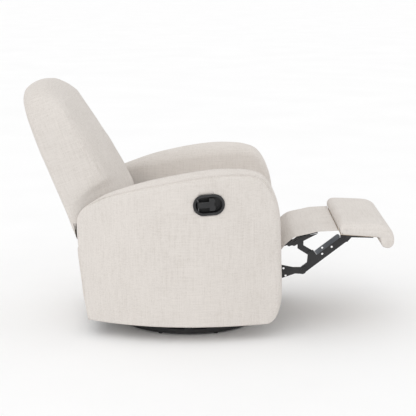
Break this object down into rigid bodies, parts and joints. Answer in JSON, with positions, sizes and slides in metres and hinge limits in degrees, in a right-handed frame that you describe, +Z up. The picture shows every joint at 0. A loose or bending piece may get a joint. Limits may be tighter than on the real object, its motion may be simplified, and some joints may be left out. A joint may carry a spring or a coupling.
{
  "type": "glider nursery chair",
  "caption": "Upholstered swivel glider recliner for a nursery, with rounded arms, a reclining back, a folding footrest and a release handle.",
  "frame": {"origin": "on the floor, where the swivel axis meets it", "axes": "+Z up, -Y the way the sitter faces when the chair is at rest, +X to the sitter's left"},
  "size_m": [0.7664, 1.3822, 0.927],
  "materials": {
    "upholstery_linen": "woven linen look, matt, ivory",
    "black_steel": "black powder coat, semi gloss",
    "plated_steel": "zinc plated",
    "black_plastic": "moulded, satin",
    "frame_wood": "sawn and planed, unfinished",
    "deck_webbing": "coarse woven webbing",
    "cable_sheath": "ribbed sheath"
  },
  "bodies": {
    "base": {"floor_ring": "black_steel", "floor_glides": "black_plastic", "base_spokes": "black_steel", "base_hub": "black_steel", "bearing_lower_race": "plated_steel", "bearing_balls": "plated_steel"},
    "swivel_frame": {"bearing_upper_race": "plated_steel", "swivel_plate": "black_steel", "swivel_rails": "black_steel", "hanger_plates": "black_steel", "upper_glide_bolts": "plated_steel"},
    "front_links": {"front_glide_links": "black_steel", "front_link_tie": "black_steel"},
    "rear_links": {"rear_glide_links": "black_steel", "rear_link_tie": "black_steel"},
    "chassis": {"glide_carrier_left": "black_steel", "glide_carrier_right": "black_steel", "lower_glide_bolts": "plated_steel", "cross_tubes": "black_steel", "side_plate_left": "black_steel", "side_plate_right": "black_steel", "recline_pins": "plated_steel", "seat_rails": "frame_wood", "seat_front_rail": "frame_wood", "seat_rear_rail": "frame_wood", "seat_springs": "plated_steel", "seat_deck": "deck_webbing", "seat_cushion": "upholstery_linen", "side_panel_left": "upholstery_linen", "side_panel_right": "upholstery_linen", "rear_panel": "upholstery_linen", "handle_housing": "black_plastic", "handle_pin": "plated_steel", "release_cable": "cable_sheath", "cable_anchor": "black_steel"},
    "back": {"back_bracket_left": "black_steel", "back_bracket_right": "black_steel", "back_frame": "frame_wood", "back_webbing": "deck_webbing", "back_cushion": "upholstery_linen", "back_shell": "upholstery_linen"},
    "lever": {"release_paddle": "black_plastic"},
    "lower_links": {"torque_tube": "black_steel", "lower_link_left": "black_steel", "lower_link_right": "black_steel", "knee_rivets": "black_steel"},
    "upper_links": {"upper_link_left": "black_steel", "upper_link_right": "black_steel", "link_strips": "plated_steel", "upper_link_rivets": "black_steel"},
    "mid_panel": {"mid_bracket_left": "black_steel", "mid_bracket_right": "black_steel", "mid_slat": "black_steel", "footrest_flap": "upholstery_linen"},
    "footrest": {"pad_bracket_left": "black_steel", "pad_bracket_right": "black_steel", "footrest_board": "frame_wood", "footrest_pad": "upholstery_linen"}
  },
  "joints": [
    {"name": "swivel", "type": "hinge", "parent": "base", "child": "swivel_frame", "pos_m": [0, 0, 0.045], "axis": [0, 0, 1], "continuous": true},
    {"name": "glide", "type": "hinge", "parent": "swivel_frame", "child": "front_links", "pos_m": [0, -0.075, 0.205], "axis": [1, 0, 0], "range_deg": [-28, 28]},
    {"name": "glide_rear", "type": "hinge", "parent": "swivel_frame", "child": "rear_links", "pos_m": [0, 0.075, 0.205], "axis": [1, 0, 0], "range_deg": [-28, 28]},
    {"name": "glide_seat", "type": "hinge", "parent": "front_links", "child": "chassis", "pos_m": [0, -0.075, 0.095], "axis": [1, 0, 0], "range_deg": [-28, 28]},
    {"name": "recline", "type": "hinge", "parent": "chassis", "child": "back", "pos_m": [0, 0.195, 0.33], "axis": [-1, 0, 0], "range_deg": [-15, 14]},
    {"name": "release", "type": "hinge", "parent": "chassis", "child": "lever", "pos_m": [-0.36994, -0.03943, 0.51435], "axis": [0.0054, -0.0695, -0.9976], "range_deg": [0, 35], "stiffness_Nm_per_rad": 0.25, "springref_deg": -8.59},
    {"name": "footrest_fold", "type": "hinge", "parent": "chassis", "child": "lower_links", "pos_m": [0, -0.235, 0.272], "axis": [1, 0, 0], "range_deg": [0, 84]},
    {"name": "footrest_knee", "type": "hinge", "parent": "lower_links", "child": "upper_links", "pos_m": [0, -0.428, 0.236], "axis": [1, 0, 0], "range_deg": [-116.9, 0]},
    {"name": "mid_panel_tilt", "type": "hinge", "parent": "upper_links", "child": "mid_panel", "pos_m": [0, -0.462, 0.298], "axis": [1, 0, 0], "range_deg": [0, 54.9]},
    {"name": "footrest_tilt", "type": "hinge", "parent": "upper_links", "child": "footrest", "pos_m": [0, -0.5817, 0.35579], "axis": [1, 0, 0], "range_deg": [0, 118.9]}
  ],
  "couplings": [
    {"joint": "glide_rear", "follows": "glide", "ratio": 1},
    {"joint": "glide_seat", "follows": "glide", "ratio": -1},
    {"joint": "footrest_knee", "follows": "footrest_fold", "ratio": -1.391},
    {"joint": "mid_panel_tilt", "follows": "footrest_fold", "ratio": 0.653},
    {"joint": "footrest_tilt", "follows": "footrest_fold", "ratio": 1.4149}
  ]
}
